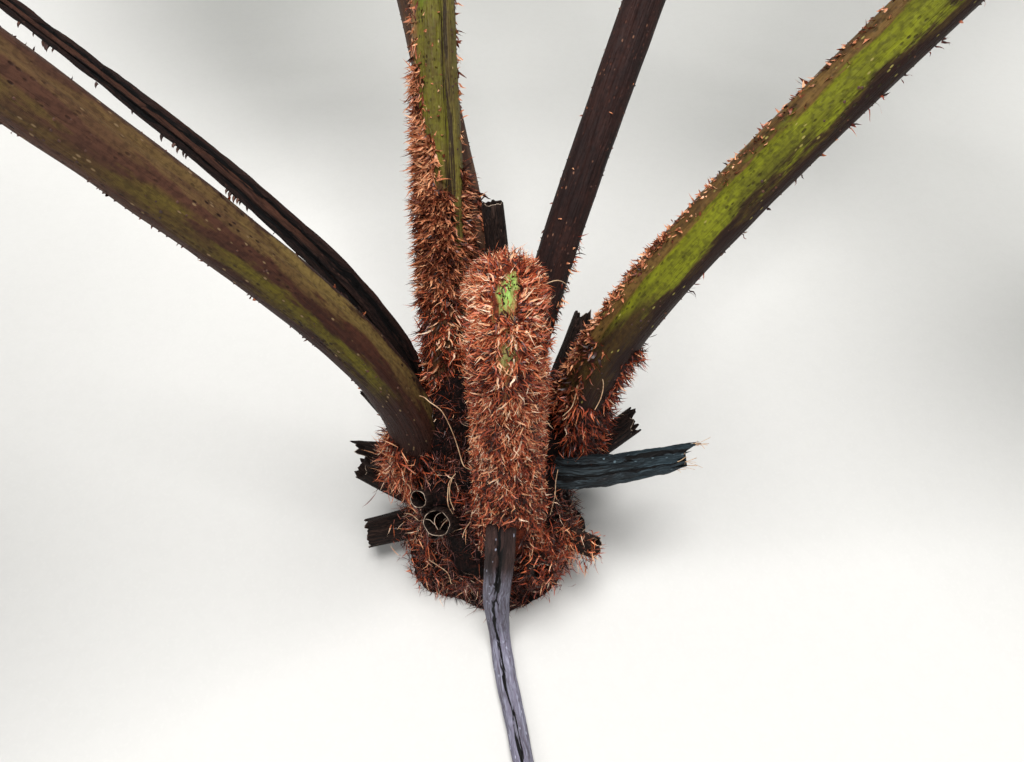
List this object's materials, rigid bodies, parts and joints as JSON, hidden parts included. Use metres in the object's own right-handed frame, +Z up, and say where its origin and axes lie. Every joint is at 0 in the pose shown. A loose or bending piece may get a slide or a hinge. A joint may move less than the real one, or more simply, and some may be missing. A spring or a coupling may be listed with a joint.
{
  "type": "tree fern",
  "caption": "Young tree fern with a short scaly trunk, broken stalk stubs, arching divided fronds, a coiled new frond at the front and withered dead fronds.",
  "frame": {"origin": "middle of the flat cut under the trunk, at ground level", "axes": "+Z up; -Y is the front, where the coiled new frond stands; +X is to its right seen from the front"},
  "size_m": [2.8065, 2.4788, 1.0598],
  "materials": {
    "trunk": "fibrous, matt",
    "stub": "dry and fibrous, matt",
    "scales": "papery scales, silky",
    "stalk_green": "smooth rind, satin",
    "stalk_brown": "rough rind, satin",
    "dead_stalk": "dry and grooved, matt",
    "leaf": "leathery leaf, satin",
    "dead_leaf": "withered leaf, matt"
  },
  "bodies": {
    "root": {"blade_back_left_lower": "leaf", "blade_back_left_middle": "leaf", "blade_back_left_tip": "leaf", "blade_back_lower": "leaf", "blade_back_middle": "leaf", "blade_back_right_lower": "leaf", "blade_back_right_middle": "leaf", "blade_back_right_tip": "leaf", "blade_back_tip": "leaf", "blade_left_lower": "leaf", "blade_left_middle": "leaf", "blade_left_tip": "leaf", "blade_right_lower": "leaf", "blade_right_middle": "leaf", "blade_right_tip": "leaf", "broken_strap_right": "stub", "crown_buds": "scales", "crozier_front": "scales", "dead_blade_front": "dead_leaf", "dead_blade_left_tip": "dead_leaf", "dead_blade_left_upper": "dead_leaf", "dead_stalk_front_lower": "dead_stalk", "dead_stalk_front_upper": "dead_stalk", "dead_stalk_left": "dead_stalk", "stalk_back": "stalk_brown", "stalk_back_left": "stalk_green", "stalk_back_right": "stalk_brown", "stalk_left": "stalk_green", "stalk_right": "stalk_green", "stub_back": "stub", "stub_back_right": "stub", "stub_front_left_lower": "stub", "stub_front_left_upper": "stub", "stub_front_right": "stub", "stub_left_lower": "stub", "stub_left_upper": "stub", "stub_right_front": "stub", "stub_right_upper": "stub", "stub_ring_1": "stub", "stub_ring_2": "stub", "stub_ring_3": "stub", "stub_ring_4": "stub", "stub_ring_5": "stub", "stub_ring_6": "stub", "stub_ring_7": "stub", "trunk": "trunk"}
  },
  "joints": []
}
